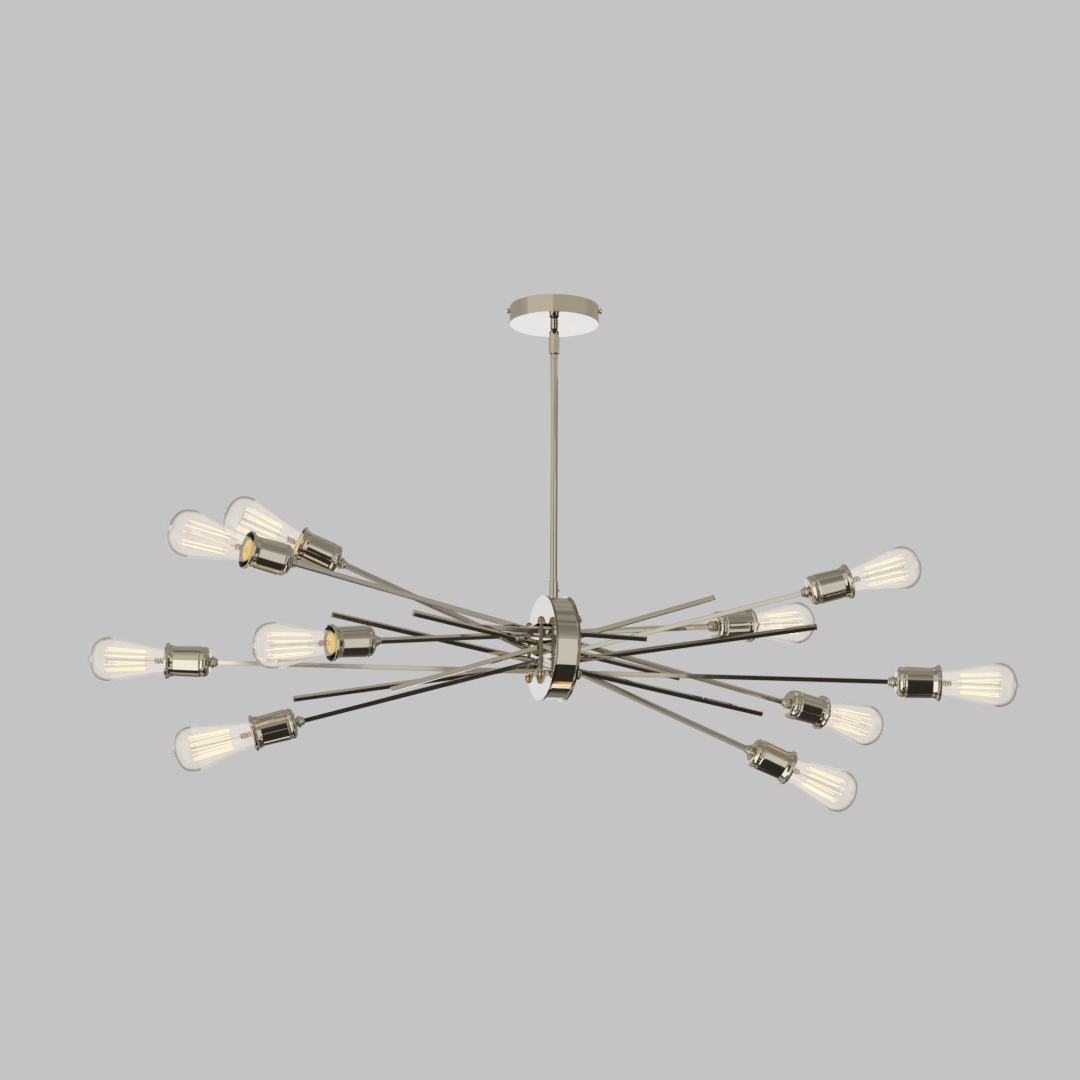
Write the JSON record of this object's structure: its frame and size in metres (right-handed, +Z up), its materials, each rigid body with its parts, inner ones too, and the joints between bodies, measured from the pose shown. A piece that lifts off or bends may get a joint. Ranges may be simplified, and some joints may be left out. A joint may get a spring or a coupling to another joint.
{
  "type": "multi arm chandelier",
  "caption": "Straight square bars cross at all angles through a short drum hung on a swivel stem; the long bars end in cup lamp holders with long tubular bulbs.",
  "frame": {"origin": "on the ceiling, in the middle of the canopy", "axes": "+Z up to the ceiling, +X along the axis of the hub drum"},
  "size_m": [1.2313, 0.4228, 0.7024],
  "materials": {
    "steel": "zinc plated steel",
    "nickel": "polished nickel",
    "nickel_bar": "polished nickel tube",
    "warm_nickel": "polished nickel with a warm tone",
    "connector_cap": "moulded plastic",
    "porcelain": "glazed porcelain",
    "dark_insulator": "black moulded insulator",
    "lead_cover": "flexible insulation",
    "dark_steel": "blackened steel",
    "brass": "bright brass",
    "bulb_glass": "clear glass"
  },
  "bodies": {
    "ceiling_mount": {"ceiling_bar": "steel", "ground_screw": "steel", "canopy": "nickel", "canopy_screws": "nickel", "canopy_washer": "steel", "wire_nuts": "connector_cap"},
    "swivel": {"swivel_neck": "nickel", "neck_nut": "steel"},
    "fixture": {"pivot_screws": "steel", "swivel_sleeve": "nickel", "stem_coupler": "nickel", "stem": "nickel", "stem_collar": "nickel", "collar_screw": "steel", "hub_nipple": "steel", "hub_band": "nickel", "hub_face_left": "nickel", "hub_face_right": "nickel", "clamp_straps": "nickel", "clamp_bolts": "warm_nickel", "acorn_nuts": "warm_nickel", "lead_splice": "porcelain", "lamp_lead": "lead_cover", "arm_leads": "lead_cover", "arm_1": "nickel_bar", "arm_2": "nickel_bar", "arm_3": "nickel_bar", "arm_4": "nickel_bar", "arm_5": "nickel_bar", "accent_1": "nickel_bar", "accent_2": "nickel_bar", "accent_3": "nickel_bar", "accent_4": "nickel_bar", "accent_5": "nickel_bar", "end_plugs": "nickel", "plug_screws": "dark_steel", "arm_ferrules": "nickel", "holder_insulators": "dark_insulator", "screw_shells": "brass", "centre_contacts": "brass", "socket_1": "nickel", "socket_2": "nickel", "socket_3": "nickel", "socket_4": "nickel", "socket_5": "nickel", "socket_6": "nickel", "socket_7": "nickel", "socket_8": "nickel", "socket_9": "nickel", "socket_10": "nickel"},
    "lamp_1": {"bulb_1": "bulb_glass"},
    "lamp_2": {"bulb_2": "bulb_glass"},
    "lamp_3": {"bulb_3": "bulb_glass"},
    "lamp_4": {"bulb_4": "bulb_glass"},
    "lamp_5": {"bulb_5": "bulb_glass"},
    "lamp_6": {"bulb_6": "bulb_glass"},
    "lamp_7": {"bulb_7": "bulb_glass"},
    "lamp_8": {"bulb_8": "bulb_glass"},
    "lamp_9": {"bulb_9": "bulb_glass"},
    "lamp_10": {"bulb_10": "bulb_glass"}
  },
  "joints": [
    {"name": "swivel_turn", "type": "hinge", "parent": "ceiling_mount", "child": "swivel", "pos_m": [0, 0, -0.0285], "axis": [0, 0, 1], "range_deg": [-175, 175], "deforming": ["lamp_lead"]},
    {"name": "swivel_tilt", "type": "hinge", "parent": "swivel", "child": "fixture", "pos_m": [0, 0, -0.0385], "axis": [0.2924, 0.9563, 0], "range_deg": [-25, 25], "deforming": ["lamp_lead"]},
    {"name": "bulb_1_screw", "type": "hinge", "parent": "fixture", "child": "lamp_1", "pos_m": [-0.44405, -0.09579, -0.3961], "axis": [-0.9618, -0.2185, 0.165], "range_deg": [0, 1080]},
    {"name": "bulb_2_screw", "type": "hinge", "parent": "fixture", "child": "lamp_2", "pos_m": [0.44751, 0.10677, -0.5491], "axis": [0.9618, 0.2185, -0.165], "range_deg": [0, 1080]},
    {"name": "bulb_3_screw", "type": "hinge", "parent": "fixture", "child": "lamp_3", "pos_m": [-0.3578, 0.00913, -0.36328], "axis": [-0.931, -0.0049, 0.3649], "range_deg": [0, 1080]},
    {"name": "bulb_4_screw", "type": "hinge", "parent": "fixture", "child": "lamp_4", "pos_m": [0.35445, 0.01286, -0.64241], "axis": [0.931, 0.0049, -0.3649], "range_deg": [0, 1080]},
    {"name": "bulb_5_screw", "type": "hinge", "parent": "fixture", "child": "lamp_5", "pos_m": [-0.50757, 0.16915, -0.50802], "axis": [-0.9555, 0.294, 0.0244], "range_deg": [0, 1080]},
    {"name": "bulb_6_screw", "type": "hinge", "parent": "fixture", "child": "lamp_6", "pos_m": [0.51387, -0.14509, -0.53414], "axis": [0.9555, -0.294, -0.0244], "range_deg": [0, 1080]},
    {"name": "bulb_7_screw", "type": "hinge", "parent": "fixture", "child": "lamp_7", "pos_m": [-0.32075, -0.04238, -0.5041], "axis": [-0.9788, -0.1708, -0.1132], "range_deg": [0, 1080]},
    {"name": "bulb_8_screw", "type": "hinge", "parent": "fixture", "child": "lamp_8", "pos_m": [0.32035, 0.06951, -0.42995], "axis": [0.9788, 0.1708, 0.1132], "range_deg": [0, 1080]},
    {"name": "bulb_9_screw", "type": "hinge", "parent": "fixture", "child": "lamp_9", "pos_m": [-0.40399, 0.05683, -0.6169], "axis": [-0.9497, 0.1606, -0.2689], "range_deg": [0, 1080]},
    {"name": "bulb_10_screw", "type": "hinge", "parent": "fixture", "child": "lamp_10", "pos_m": [0.40988, -0.08083, -0.38643], "axis": [0.9497, -0.1606, 0.2689], "range_deg": [0, 1080]}
  ]
}
